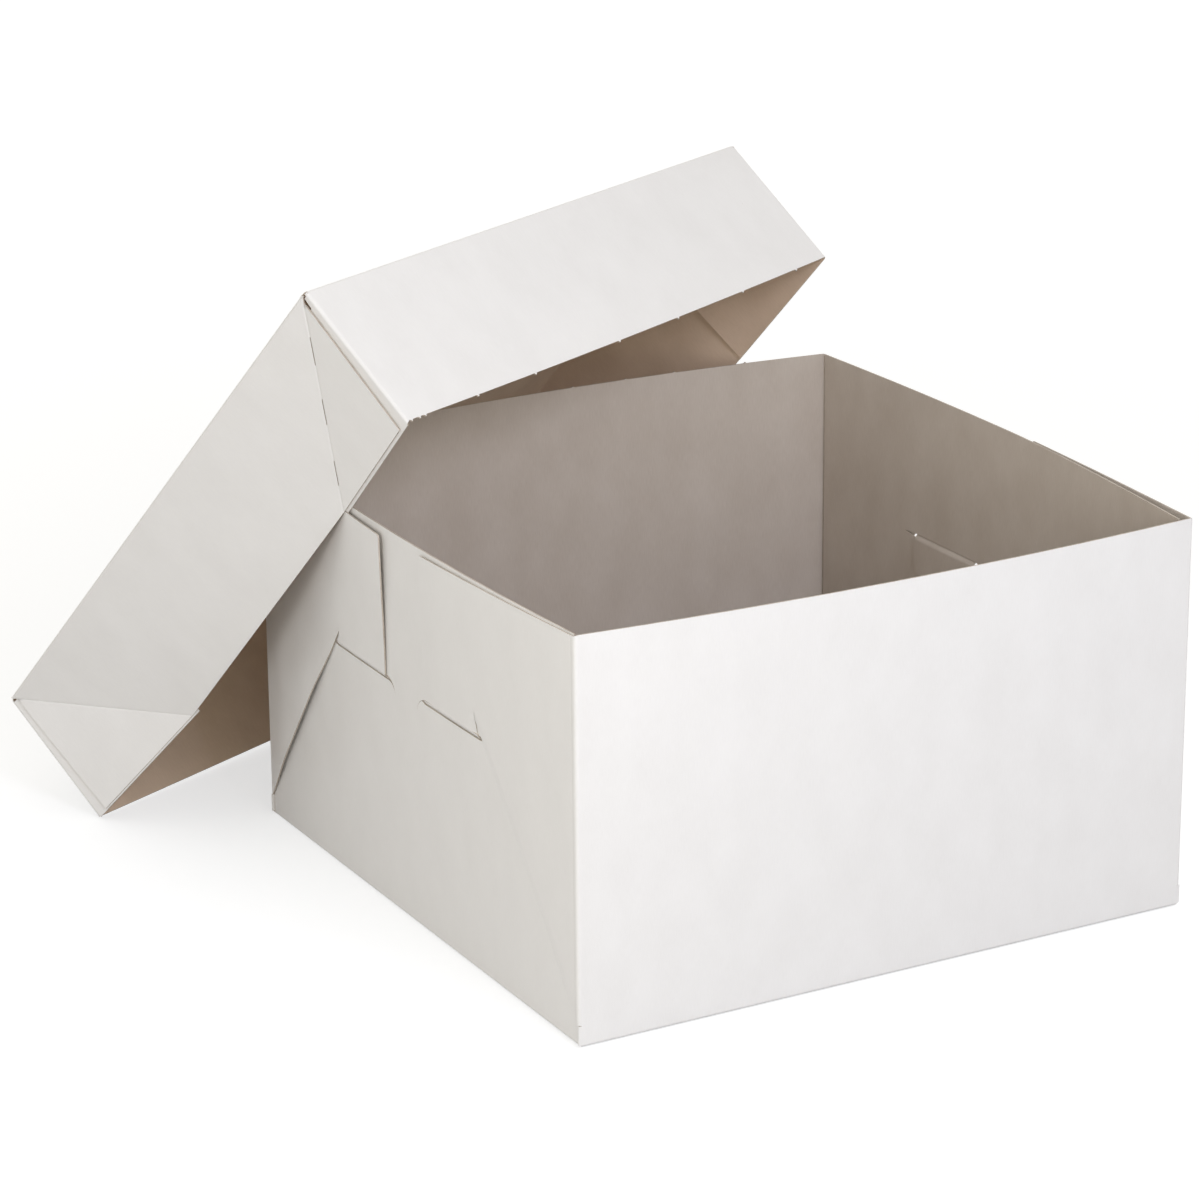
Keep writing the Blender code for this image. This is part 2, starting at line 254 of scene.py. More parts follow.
# %% The crease group
GROOVE, SHOULDER = 0.1, 0.85            # mm from the line: flat bottom of the groove, and where it ends

crease, crease_in, crease_out = node_group(
    "pressed_line", [("Distance", "NodeSocketFloat")], [("Height", "NodeSocketFloat")]
)
size_of = node(crease, "Math", {0: crease_in.outputs["Distance"]}, operation="ABSOLUTE")
groove = node(crease, "MapRange", {"From Min": GROOVE, "From Max": SHOULDER, "Value": size_of.outputs[0]},
              interpolation_type="SMOOTHSTEP")
crease.links.new(groove.outputs["Result"], crease_out.inputs["Height"])
print("pressed_line:", len(crease.nodes), "nodes")

# %% [markdown]
# Each material now joins the groups: the tone picks between two close colours, the specks darken it, and the
# fibres and creases feed a bump. The shader stays in the material, where an exporter can read it. The lid is
# another sheet of the same board; its back is painted browner and lighter for the warm light in its deep shade.


# %% Build a board material
def new_material(name):
    """A material, its node tree and the inputs of its Principled shader."""
    material = bpy.data.materials.new(name)
    material.use_nodes = True
    return material, material.node_tree, material.node_tree.nodes["Principled BSDF"].inputs


def finish_of_board(name, light, dark, speck, rough, fibre_depth, crease_depth):
    """A board material: colour between light and dark by tone, roughness by clouds, fibre and crease bump.

    Depths are in metres; rough is the roughness in the thin and the thick places of the coating.
    """
    material, tree, shader = new_material(name)
    place = node(tree, "UVMap", uv_map="board").outputs["UV"]
    fibre = node(tree, "Group", {"Board": place}, node_tree=fibres).outputs
    spot = node(tree, "Group", {"Board": place}, node_tree=specks).outputs

    tone = node(tree, "MapRange", {"From Min": 0.35, "From Max": 0.65, "Value": fibre["Tone"]})
    colour = node(tree, "Mix", {"Factor": tone.outputs["Result"], "A": (*dark, 1), "B": (*light, 1)},
                  data_type="RGBA")
    marked = node(tree, "Mix", {"Factor": spot["Mask"], "A": colour.outputs["Result"], "B": (*speck, 1)},
                  data_type="RGBA")
    tree.links.new(marked.outputs["Result"], shader["Base Color"])

    gloss = node(tree, "MapRange", {"From Min": 0.3, "From Max": 0.7, "To Min": rough[0], "To Max": rough[1],
                                    "Value": fibre["Clouds"]})
    tree.links.new(gloss.outputs["Result"], shader["Roughness"])

    distance = node(tree, "Attribute", attribute_name="score").outputs["Fac"]
    line = node(tree, "Group", {"Distance": distance}, node_tree=crease).outputs["Height"]
    pressed = node(tree, "Bump", {"Distance": crease_depth, "Height": line}).outputs["Normal"]
    relief = node(tree, "Bump", {"Distance": fibre_depth, "Height": fibre["Height"], "Normal": pressed})
    tree.links.new(relief.outputs["Normal"], shader["Normal"])
    return material


WHITE_FACE = finish_of_board(
    "coated_white_face", light=(0.873, 0.868, 0.862), dark=(0.836, 0.829, 0.821), speck=(0.42, 0.38, 0.33),
    rough=(0.42, 0.54), fibre_depth=0.000018, crease_depth=0.00012)
UNCOATED = {"speck": (0.26, 0.20, 0.15), "rough": (0.78, 0.90),
            "fibre_depth": 0.000045, "crease_depth": 0.00012}
BROWN_BACK = finish_of_board(
    "uncoated_back", light=(0.605, 0.550, 0.495), dark=(0.540, 0.482, 0.425), **UNCOATED)
# Painted light and shade: the lid's back is browner and lighter than the tray's, for the warm light in its deep
# shade.
LID_BACK_PAINTED_SHADE = finish_of_board(
    "uncoated_lid_back_painted_shade", light=(0.756, 0.605, 0.475), dark=(0.675, 0.530, 0.408), **UNCOATED)
CUT_EDGE = finish_of_board(
    "cut_edge", light=(0.62, 0.565, 0.50), dark=(0.42, 0.365, 0.31), speck=(0.28, 0.22, 0.17),
    rough=(0.80, 0.95), fibre_depth=0.000060, crease_depth=0.0)
TRAY_FINISHES = (WHITE_FACE, BROWN_BACK, CUT_EDGE)
LID_FINISHES = (WHITE_FACE, LID_BACK_PAINTED_SHADE, CUT_EDGE)
print("finishes:", [m.name for m in (*TRAY_FINISHES, LID_BACK_PAINTED_SHADE)])

# %% [markdown]
# ## From a flat outline to a sheet of board
#
# `board` welds the flat patches into one outline, lays it in space with a function of (a, h), and moves each
# point half the board's thickness both ways along the normal. The border gets a slightly rounded strip, so
# the sheet is closed and its cut edge catches the light as real board does.


# %% The sheet maker
def flat_mesh(patches):
    """Weld flat patches: their points, and triangles that run anticlockwise as seen from outside."""
    quads, first = [], 0
    for patch in patches:
        rows, columns = patch.shape[:2]
        i = first + np.arange(rows * columns).reshape(rows, columns)
        quads.append(np.stack([i[:-1, :-1], i[:-1, 1:], i[1:, 1:], i[1:, :-1]], -1).reshape(-1, 4))
        first += rows * columns
    flat = np.concatenate([patch.reshape(-1, 2) for patch in patches])
    _, keep, same = np.unique(np.round(flat, 3), axis=0, return_index=True, return_inverse=True)
    quads = same.reshape(-1)[np.concatenate(quads)]
    triangles = np.concatenate([quads[:, [0, 1, 2]], quads[:, [0, 2, 3]]])
    a, b, c = triangles.T
    return flat[keep], triangles[(a != b) & (b != c) & (c != a)]


def lengths(vectors):
    """The lengths of vectors, with a last axis of one, to divide or multiply them by."""
    return np.linalg.norm(vectors, axis=-1, keepdims=True)


def normals_of(lay, a, h, step=0.02):
    """Unit normals of the middle surface: the cross product of its two slopes."""
    across = np.cross(lay(a + step, h) - lay(a - step, h), lay(a, h + step) - lay(a, h - step))
    return across / lengths(across)


def border_of(triangles, count):
    """Directed edges whose reverse no triangle has."""
    edges = np.concatenate([triangles[:, [0, 1]], triangles[:, [1, 2]], triangles[:, [2, 0]]])
    return edges[~np.isin(edges[:, 0] * count + edges[:, 1], edges[:, 1] * count + edges[:, 0])]


print("sheet maker ready")


# %% Give the sheet its thickness
STAND_OUT = 0.25        # how far the middle of a cut edge stands out, in half thicknesses
NO_LINE = 9.0           # mm, further from a pressed line than it can be seen


def shell_of(middle, normal, half, triangles):
    """Close a sheet: its middle surface plus and minus half along the normal, and a rounded strip between.

    Returns the points, the faces of the outer side, the inner side and the strip, and the border's points.
    """
    count = len(middle)
    border = border_of(triangles, count)
    start, end = border.T
    aside = np.cross(middle[end] - middle[start], normal[start])
    aside /= lengths(aside) + 1e-9
    push = np.zeros_like(middle)
    np.add.at(push, start, aside)
    np.add.at(push, end, aside)
    rim = np.unique(border)
    push = push[rim] / np.maximum(lengths(push[rim]), 1.0)
    place = np.zeros(count, int)
    place[rim] = 2 * count + np.arange(len(rim))

    points = np.concatenate([middle + half * normal, middle - half * normal,
                             middle[rim] + STAND_OUT * half[rim] * push])
    strip = np.concatenate([np.stack([end, start, place[start], place[end]], -1),
                            np.stack([place[end], place[start], start + count, end + count], -1)])
    return points, (triangles, triangles[:, ::-1] + count, strip), rim


def added(name, data):
    """A new object with this data, linked to the scene."""
    new = bpy.data.objects.new(name, data)
    bpy.context.scene.collection.objects.link(new)
    return new


def board(name, lay, patches, thin=None, score=None, shift=(0.0, 0.0)):
    """A closed sheet round the middle surface lay(a, h), with a finish for each side and for the cut edge.

    thin(a, h) gives the half thickness where it isn't 0.3 mm, score(a, h) the distance from a pressed line,
    and shift the place in the big sheet of board that the piece is cut from.
    """
    flat, triangles = flat_mesh(patches)
    a, h = flat.T
    half = (np.full(len(flat), HALF) if thin is None else thin(a, h))[:, None]
    points, faces, rim = shell_of(lay(a, h), normals_of(lay, a, h), half, triangles)
    mesh = bpy.data.meshes.new(name)
    mesh.from_pydata(points * 0.001, [], [face for side in faces for face in side.tolist()])
    mesh.update()

    finish = np.repeat([0, 1, 2], [len(side) for side in faces])
    mesh.polygons.foreach_set("material_index", finish.astype(np.int32))
    corner = np.zeros(len(mesh.loops), np.int32)
    mesh.loops.foreach_get("vertex_index", corner)
    every = np.concatenate([flat, flat, flat[rim]])
    in_metres = (every[corner] + np.asarray(shift)) * 0.001
    mesh.uv_layers.new(name="board").uv.foreach_set("vector", in_metres.astype(np.float32).ravel())
    pressed = np.full(len(flat), NO_LINE) if score is None else score(a, h)
    attribute = mesh.attributes.new("score", "FLOAT", "POINT")
    attribute.data.foreach_set("value", np.concatenate([pressed, pressed, pressed[rim]]).astype(np.float32))
    for material in LID_FINISHES if name.startswith("lid_") else TRAY_FINISHES:
        mesh.materials.append(material)
    mesh.shade_smooth()
    mesh.set_sharp_from_angle(angle=np.radians(38))
    sheet = added(name, mesh)
    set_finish(sheet, "white_lined_board")
    return sheet


def panel(name, body, lay, patches, **more):
    """A sheet that rides on a body and stands for the CAD node of the same name."""
    sheet = board(name + "_sheet", lay, patches, **more)
    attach(sheet, body)
    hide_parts(name)
    print("%-28s %6d faces on %s" % (sheet.name, len(sheet.data.polygons), body))
    return sheet


# %% [markdown]
# ## Standing panels
#
# A wall of board is never quite flat: held along its bottom and its two ends, it bows outwards most at the
# middle of its free top edge. The photo shows 4 to 9 mm of it. The bow is a parabola along the wall times a
# power of the height, so it is nothing along the creases. Near the front the right wall also leans in, away
# from the flap that is folded round it, so that the flap shows beyond the wall's edge.

# %% Lay a standing panel in space
FRONT, RIGHT, BACK, LEFT = 0.0, 90.0, 180.0, 270.0      # azimuths of the outer faces, degrees
UP = np.array([0.0, 0.0, 1.0])


def directions(azimuth):
    """Unit vectors to the right and outwards, as seen from outside a wall."""
    turn = np.radians(azimuth)
    return np.array([np.cos(turn), np.sin(turn), 0.0]), np.array([np.sin(turn), -np.cos(turn), 0.0])


def standing(azimuth, reach, bow, carrier=None):
    """Middle surface of a wall: a to the right, h up, and reach + bow(a, h) outwards from the middle."""
    right, out = directions(azimuth)

    def lay(a, h):
        a, h = spread(a, h)
        far = reach + bow(a, h)
        point = a[..., None] * right + far[..., None] * out + h[..., None] * UP
        return point if carrier is None else carrier(point)
    return lay


def bowed(most, half_length, peak=0.0):
    """Bow of a wall: most (1 - x^2) (1 + peak x) (h / TOP)^1.15, with x the place along it from -1 to 1."""
    def bow(a, h):
        x = np.clip(a / half_length, -1, 1)
        hump = (1 - x * x) * (1 + peak * x)
        return most * hump * np.clip(h / TOP, 0, None) ** 1.15
    return bow


front_bow = bowed(6.3, FLAP)
back_bow = bowed(9.0, FLAP)
left_bow = bowed(4.5, END, 0.12)
right_bow = bowed(4.2, END)


RIGHT_LEAN, LEAN_RUN = 4.4, 118.0       # at the right wall's front top corner, and how far along it fades, mm


def right_lean(a, h):
    """The right wall's bow, less RIGHT_LEAN at its front top corner, fading along it and down to the slot."""
    along = np.clip(1 - (a + END) / LEAN_RUN, 0, 1) ** 1.2
    return right_bow(a, h) - RIGHT_LEAN * along * np.clip((h - SLOT) / (TOP - SLOT), 0, 1) ** 1.4


front = standing(FRONT, END, front_bow)
back = standing(BACK, END, back_bow)
left = standing(LEFT, SIDE, left_bow)
right = standing(RIGHT, SIDE, right_lean)
print("front wall at the middle of its top edge:", front(0, TOP).round(2), "mm")

# %% [markdown]
# ## Creases as round bends
#
# Board doesn't fold to a sharp line. Over the width of the pressed crease it bends round, about 1 mm. A bend
# is a Hermite curve: it leaves one panel along that panel's slope and meets the other along its slope, so no
# seam shows.

# %% Bends between two panels
ROUND = 0.95            # mm from the crease to where the bend starts
QUARTER = 1.172         # slope over chord, which makes a Hermite curve a quarter circle


def bend(first, second):
    """Middle surface of a bend. first(q, i) and second(q, i) are points i mm inside each panel, q along it."""
    def lay(t, q):
        t, q = spread(t, q)
        begin, finish = first(q, 0.0), second(q, 0.0)
        leave, arrive = begin - first(q, 0.1), second(q, 0.1) - finish
        pull = QUARTER * lengths(finish - begin)
        leave *= pull / lengths(leave)
        arrive *= pull / lengths(arrive)
        t = t[..., None]
        return ((2 * t**3 - 3 * t**2 + 1) * begin + (t**3 - 2 * t**2 + t) * leave
                + (3 * t**2 - 2 * t**3) * finish + (t**3 - t**2) * arrive)
    return lay


def lengthwise(lay):
    """The same surface with its two directions exchanged, for a crease that runs along a."""
    return lambda a, h: lay(h, a)


def flat_edge(azimuth, reach, level, carrier=None):
    """Edge of a flat panel under or over a wall: q to the right along it, i inwards from it."""
    right_way, out = directions(azimuth)

    def point(q, i):
        q, i = spread(q, i)
        spot = q[..., None] * right_way + (reach - i)[..., None] * out + level * UP
        return spot if carrier is None else carrier(spot)
    return point


print("bends ready, %.2f mm round" % ROUND)

# %% [markdown]
# ## The bottom and the four walls of the tray
#
# The bottom panel stays flat on the table. The front and back walls run past the side walls to the corner
# creases. Their lower corners are cut away at 45 degrees, as the die does, so that nothing binds there.

# %% The bottom panel
FOOT = FLOOR + ROUND
bottom_x, bottom_y = SIDE - ROUND, END - ROUND
panel("tray_bottom", "tray", lambda a, h: np.stack([-a, h, np.full_like(a, FLOOR)], -1),
      [ruled(steps(-bottom_x, bottom_x, every=25), -bottom_y, bottom_y, 12)])

# %% [markdown]
# Small torn bits stay on a cut edge where the die leaves the blank joined to the waste sheet until it is
# stripped. `nicks` moves an edge out by a few tenths of a millimetre at given places.


# %% Nicks on a cut edge
NEAR_NICK = np.array([-1.2, -0.6, -0.3, 0, 0.3, 0.6, 1.2])      # extra columns round a nick, mm


def nicks(a, places, tall=0.8, wide=0.4):
    """Sum over the places of a tooth: tall exp(-(x / wide)^2), with x the distance from the place."""
    x = (np.asarray(a, float)[:, None] - np.asarray(places, float)[None, :]) / wide
    return (tall * np.exp(-x**2)).sum(1)


def columns_with(low, high, places):
    """Columns along an edge, with extra ones round each nick."""
    close = (np.asarray(places, float)[:, None] + NEAR_NICK).ravel()
    close = close[(close > low) & (close < high)]
    return np.unique(np.round(np.concatenate([steps(low, high, every=8), close]), 4))


BACK_NICKS = [-92.0, -60.0, -38.0, -14.0]
print("back wall nicks at", BACK_NICKS)


# %% The front and back walls
FLAP_FOOT = 8.4         # height of a corner flap's lower edge at the corner


def end_wall(name, body, lay, places):
    """A plain wall from its bend to its cut top edge, with short ends past the corner creases at its foot."""
    inner, outer = FLAP - ROUND, FLAP + 0.2
    along = columns_with(-inner, inner, places)
    wall = ruled(along, FOOT, TOP + nicks(along, places, 0.5), 22)
    ends = [ruled(steps(*span), FOOT, FLAP_FOOT - 0.25, 3) for span in ((-outer, -inner), (inner, outer))]
    return panel(name, body, lay, [wall, *ends])


def line_the_foot(sheet):
    """Make the short ends at a wall's foot white all round, because the white liner is folded over them."""
    polygons = sheet.data.polygons
    centre, finish = np.zeros(3 * len(polygons), np.float32), np.zeros(len(polygons), np.int32)
    polygons.foreach_get("center", centre)
    polygons.foreach_get("material_index", finish)
    finish[(np.abs(centre[::3]) > (SIDE + HALF) / 1000) & (centre[2::3] < FLAP_FOOT / 1000)] = 0
    polygons.foreach_set("material_index", finish)


line_the_foot(end_wall("tray_front_wall", "front_wall", front, []))
line_the_foot(end_wall("tray_back_wall", "tray", back, BACK_NICKS))

# %% [markdown]
# Each side wall has two lock slots, and each slot is a straight cut with a curved tail towards the middle.
# The wall is made of an upper and a lower band that share one line across it. Where there is a slot, the two
# bands part and leave it open, and where there is none, their points are the same and weld together.

# %% The slot as two curves
SLOT_START, SLOT_END = 69.1, 111.8              # from the corner crease
TAIL_RUN, TAIL_DROP = 6.5, 6.3
ABOVE, BELOW = 0.55, 1.20                       # how far the slot opens above and below its line
HAIRLINE = 0.10                                 # and how far at its tip
CUT_BACK = 1.3      # how far a side wall and the foot of a bottom bend stop short of the corner crease


def smooth(t):
    """0 below 0, 1 above 1, and 3t^2 - 2t^3 between."""
    t = np.clip(t, 0, 1)
    return t * t * (3 - 2 * t)


def slot_edges(a, closed_at_right):
    """Lower and upper curve of a side wall's slots: level, then a quarter ellipse down to the tail's tip.

    An open tail narrows evenly to its tip. A closed one is a hairline nearly from its start.
    """
    d = END - np.abs(a)
    u = np.clip((d - SLOT_END) / TAIL_RUN, 0, 1)
    line = SLOT - TAIL_DROP * (1 - np.sqrt(1 - u * u))
    inside = (d > SLOT_START + 1e-6) & (u < 1 - 1e-9)
    shut = np.where((a > 0) & closed_at_right, smooth(u / 0.35), u)
    up = np.where(inside, ABOVE + (HAIRLINE - ABOVE) * shut, 0.0)
    down = np.where(inside, BELOW + (HAIRLINE - BELOW) * shut, 0.0)
    return line - down, line + up


def slot_columns():
    """Columns across a side wall, close together where a slot starts and where its tail curves."""
    curve = SLOT_END + TAIL_RUN * np.sin(np.linspace(0, np.pi / 2, 9))
    opened = SLOT_START + 0.25
    half = END - np.concatenate([[SLOT_START, opened], steps(opened, SLOT_END, every=7), curve])
    ends = steps(-(END - CUT_BACK), -(END - SLOT_START), every=8)
    return np.unique(np.round(np.concatenate([ends, -ends, half, -half, steps(-8, 8, every=4)]), 4))


print("slot columns:", len(slot_columns()))


# %% The side walls
def side_wall(name, lay, closed_at_right):
    """Two bands, from the foot to the slot line and from there to the top edge."""
    along = slot_columns()
    low, high = slot_edges(along, closed_at_right)
    return panel(name, "tray", lay, [ruled(along, FOOT, low, 16), ruled(along, high, TOP, 12)])


side_wall("tray_left_wall", left, True)
side_wall("tray_right_wall", right, False)

# %% [markdown]
# The bottom creases: three of them ride with the tray. The front one is the hinge that lets the front wall
# fold down, so its bend rides with neither body.


# %% The bottom bends
def bottom_bend(name, azimuth, reach, wall, half_length):
    """Bend from the bottom panel's edge up to a wall's foot; its ends are cut back at 45 degrees."""
    surface = lengthwise(bend(flat_edge(azimuth, reach - ROUND, FLOOR), lambda q, i: wall(q, FOOT + i)))
    rows = np.linspace(0, 1, 6)
    ends = half_length - CUT_BACK + CUT_BACK * rows**2
    return board(name, surface, [ruled_sideways(rows, -ends, ends, 24)])


for edge_name, azimuth, reach, wall, length in (
    ("back_bottom_crease", BACK, END, back, FLAP),
    ("left_bottom_crease", LEFT, SIDE, left, END - 0.6),
    ("right_bottom_crease", RIGHT, SIDE, right, END - 0.6),
):
    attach(bottom_bend(edge_name, azimuth, reach, wall, length), "tray")

front_crease = bottom_bend("front_bottom_crease", FRONT, END, front, FLAP)
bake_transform(front_crease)

# %% [markdown]
# ## The corner flaps
#
# A flap folds round each corner and lies outside the side wall. Its lower edge climbs in a straight line from
# the foot of the corner to just above the slot, and a small curved cut comes down from there beside the tab's
# neck. In the photo the back-left flap stands off the wall a little, and the front-left one is pressed flat.

# %% Shape of a flap
FLAP_TOP = TOP - 0.5
NECK = 69.45            # the tab's neck, from the corner crease
HOOK = 2.9              # how far the cut beside the neck leans towards the free edge
HOOK_TOP = SLOT + 6.5
HOOK_RUN = 14.0         # how far along the flap that lean fades
RISE = (HOOK_TOP - FLAP_FOOT) / (NECK + HOOK - ROUND)
CORNER = 1.5            # radius of the free top corner


def climb(d):
    """Height of the straight climbing edge, d from the corner crease."""
    return FLAP_FOOT + RISE * (d - ROUND)


def leaned(d, h):
    """Columns near the neck lean with the curved cut beside it, by HOOK at its top."""
    u = np.clip((h - SLOT) / (HOOK_TOP - SLOT), 0, 1)
    return d + HOOK * np.exp(-(((d - NECK) / HOOK_RUN) ** 2)) * u * (1.6 - 0.6 * u)


def lower_edge(d):
    """The straight climbing edge up to the neck, and level above the tab beyond it."""
    h = climb(d)
    for _ in range(150):                    # settle each point on the line after the lean
        h = climb(leaned(d, h))
    return np.where(d > NECK, SLOT + 0.9, h)


def hung(patch, side):
    """Turn distances d from a corner crease into places a = side (END - d), columns from left to right."""
    patch = np.stack([side * (END - patch[..., 0]), patch[..., 1]], -1)
    return patch[:, ::-1] if side > 0 else patch


def flap_outline(side, drop, slant):
    """Flat patch of a flap on a side wall: side 1 hangs from the wall's right end, -1 from its left end.

    The top edge falls by drop towards the free edge, and the free edge slants by slant over its height.
    """
    d = np.concatenate([steps(ROUND, NECK - 0.25, every=4), steps(NECK + 0.2, FREE_EDGE, every=5)])
    d = np.unique(np.concatenate([d, FREE_EDGE - np.array([CORNER, 1.0, 0.5, 0.2])]))
    top = FLAP_TOP - drop * (d / FREE_EDGE)
    into = np.clip(d - (FREE_EDGE - CORNER), 0, CORNER)
    top -= CORNER - np.sqrt(np.clip(CORNER**2 - into**2, 0, None))
    patch = ruled(d, lower_edge(d), top, 30)
    patch[..., 0] = leaned(patch[..., 0], patch[..., 1])
    up = np.clip((patch[..., 1] - SLOT) / (TOP - SLOT), 0, 1)
    patch[..., 0] += slant * up * np.clip(d / FREE_EDGE, 0, 1) ** 3
    return hung(patch, side)


print("flap outline:", flap_outline(1, 3.0, 0.0).shape[:2], "points")

# %% [markdown]
# A flap's middle surface is the side wall's own bow, one board further out, plus a lift. The lift grows
# towards the free top corner and is nothing along the slot, because the tab holds the flap there.


# %% Lay the flaps on the side walls
CRUSHED = 0.09          # half thickness of a cut edge that is pressed flat, mm
PRESSED_RUN = 5.0       # how far in from such an edge the pressing is felt, mm


def flap_surface(azimuth, side, bow, snug, lift, belly):
    """Bow of the side wall, plus the layer distance, plus lift at the free top corner and belly low down.

    The layer distance turns to snug over 25 mm from the corner. A belly swells over 20 mm from the corner and
    30 mm down from the slot. A negative belly presses the flap's lower edge towards the wall.
    """
    def off(a, h):
        d = END - side * a
        t = np.clip(d / FREE_EDGE, 0, 1)
        layer = (FLAP - SIDE) + (snug - (FLAP - SIDE)) * smooth(d / 25.0)
        above = smooth((h - SLOT) / (TOP - SLOT)) * t**1.5
        if belly < 0:
            below = (1 - smooth((h - climb(d)) / PRESSED_RUN)) * smooth(d / 15.0) * (d < NECK + HOOK)
        else:
            below = smooth((SLOT - h) / 30.0) * smooth(d / 20.0)
        return bow(a, h) + layer + lift * above + belly * below
    return standing(azimuth, SIDE, off)


def thin_lower_edge(side):
    """Half thickness of the pressed flap, which falls from HALF to CRUSHED at its lower and free edges."""
    def half(a, h):
        d = END - side * a
        above = np.where(d < NECK + HOOK, h - climb(d), PRESSED_RUN)
        from_free_edge = FREE_EDGE - 3.0 - d
        return CRUSHED + (HALF - CRUSHED) * smooth(above / PRESSED_RUN) * smooth(from_free_edge / PRESSED_RUN)
    return half


FLAPS = {
    # name: azimuth, end of the wall it hangs from, bow of the wall, snug, lift, belly
    "front_left": (LEFT, 1, left_bow, 0.62, 0.6, -0.2),
    "front_right": (RIGHT, -1, right_bow, 0.75, 1.6, 0.8),
    "back_left": (LEFT, -1, left_bow, 0.85, 1.5, 1.9),
    "back_right": (RIGHT, 1, right_bow, 0.75, 1.4, 0.8),
}
FREE_EDGES = {
    # name: drop of the top edge, slant of the free edge
    "front_left": (1.4, -3.0), "front_right": (0.3, 0.0), "back_left": (2.2, 4.2), "back_right": (2.6, 0.0),
}
FLAP_BODY = {name: "tray" if name == "back_left" else name + "_flap" for name in FLAPS}
surface_of = {name: flap_surface(*values) for name, values in FLAPS.items()}


def cut_from(azimuth, side):
    """Where in the big sheet a flap is cut from, in mm, so that no two of them show the same fibres."""
    return 37.0 * azimuth, 11.0 * side


for name, (azimuth, side, *_) in FLAPS.items():
    panel(name + "_flap", FLAP_BODY[name], surface_of[name], [flap_outline(side, *FREE_EDGES[name])],
          thin=thin_lower_edge(side) if name == "front_left" else None,
          score=lambda a, h: END - np.abs(a) - 2.3, shift=cut_from(azimuth, side))

# %% [markdown]
# The corner creases stand upright. Seen from outside, each bend starts at the left panel and ends at the
# right one, and a flap of side 1 is the left one. Three of the four are hinges. The lid's corners, further
# on, are bends of the same kind.


# %% The corner bends
def end_of(lay, side, reach):
    """Edge of a panel where a corner bend starts, q up and i inwards: the left one where side is -1."""
    return lambda q, i: lay(side * (reach - ROUND - i), q)


def corner_bend(flap_end, wall_end, side):
    """The bend round a corner, from the left panel to the right one as seen from outside."""
    return bend(flap_end, wall_end) if side > 0 else bend(wall_end, flap_end)


CORNER_JOINT = {"front_left": "front_wall", "front_right": "front_wall", "back_right": "tray"}

for name, (azimuth, side, *_) in FLAPS.items():
    wall = front if name.startswith("front") else back
    surface = corner_bend(end_of(surface_of[name], side, END), end_of(wall, -side, FLAP), side)
    t = np.linspace(0, 1, 7)
    top = FLAP_TOP - 0.02 + 0.5 * (t if side > 0 else 1 - t)
    strip = board(name + "_corner_crease", surface, [ruled(t, FLAP_FOOT + 0.1, top, 22)])
    if name in CORNER_JOINT:
        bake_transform(strip)
    else:
        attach(strip, "tray")
print("four corner bends")

# %% [markdown]
# The tab is the end of the flap that steps through the slot: from the flap it dives inwards, and its tongue
# hangs down against the inside of the wall. One smooth step carries it through.

# %% The lock tabs
TAB_START, TAB_STOP = 69.7, 111.2       # the tab's sides, from the corner crease
TONGUE_END = 15.7                       # how far the tongue hangs below the slot
TONGUE_ROUND = 5.0                      # radius of its lower corners
TUCKED = 0.93                           # how far inside the wall's middle it hangs


def tab_surface(azimuth, bow, snug):
    """From the flap's layer outside the wall to TUCKED inside it, by a smooth step 2.9 mm high at the slot."""
    def off(a, h):
        dive = smooth((h - (SLOT - 1.75)) / 2.9)
        return bow(a, h) - TUCKED + (TUCKED + snug) * dive
    return standing(azimuth, SIDE, off)


def tab_outline(side):
    """Straight sides, two rounded lower corners, and rows close together where the tab steps through."""
    turn = TONGUE_ROUND * (1 - np.cos(np.linspace(0, np.pi / 2, 7)))
    between = steps(TAB_START + TONGUE_ROUND, TAB_STOP - TONGUE_ROUND, every=7)
    d = np.unique(np.concatenate([TAB_START + turn, TAB_STOP - turn, between]))
    corner = np.clip(TONGUE_ROUND - np.minimum(d - TAB_START, TAB_STOP - d), 0, TONGUE_ROUND)
    low = SLOT - TONGUE_END + TONGUE_ROUND - np.sqrt(np.clip(TONGUE_ROUND**2 - corner**2, 0, None))
    step = SLOT - 3.0
    patch = np.concatenate([ruled(d, low, step, 6), ruled(d, step, SLOT + 0.92, 12)[1:]])
    return hung(patch, side)


for name, (azimuth, side, bow, snug, *_) in FLAPS.items():
    panel(name + "_tab", FLAP_BODY[name], tab_surface(azimuth, bow, snug), [tab_outline(side)],
          shift=cut_from(azimuth, side))

# %% [markdown]
# ## Where the lid is
#
# The lid leans on the tray's back-left corner. Its own frame has the middle of its top panel as the origin and
# Z out of the top. The origin is the middle of the CAD top panel, and the slide joint's axis is Z.

# %% The lid's frame
top_low, top_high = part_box("lid_top")
lid_origin = 500.0 * (np.array(top_low) + np.array(top_high))
lift_axis = np.array(next(j["axis"] for j in frame["joints"] if j["name"] == "lid_lift"))
TURN, TWIST = 21.4, -1.9


def rotation(axis, degrees):
    """3 x 3 rotation matrix about one axis."""
    return np.array(Matrix.Rotation(np.radians(degrees), 3, axis))


lean_back = np.degrees(np.arccos(lift_axis[2] / np.cos(np.radians(TWIST))))
lid_turn = rotation("Z", TURN) @ rotation("X", -lean_back) @ rotation("Y", TWIST)


def on_lid(points):
    """From the lid's own frame to the shared one: turn, then move to the lid's origin."""
    return points @ lid_turn.T + lid_origin


print("lid leans back %.2f degrees; its axis is off the joint's by %.1e"
      % (lean_back, np.abs(lid_turn[:, 2] - lift_axis).max()))

# %% [markdown]
# ## The lid's walls
#
# The front and back walls are plain. The side walls have a diagonal crease near each end, and the corner
# triangles beyond them are glued to flaps of the end walls, so that the lid folds flat. In the photo the
# creases aren't quite straightened: the rim bends inwards where a diagonal reaches it.

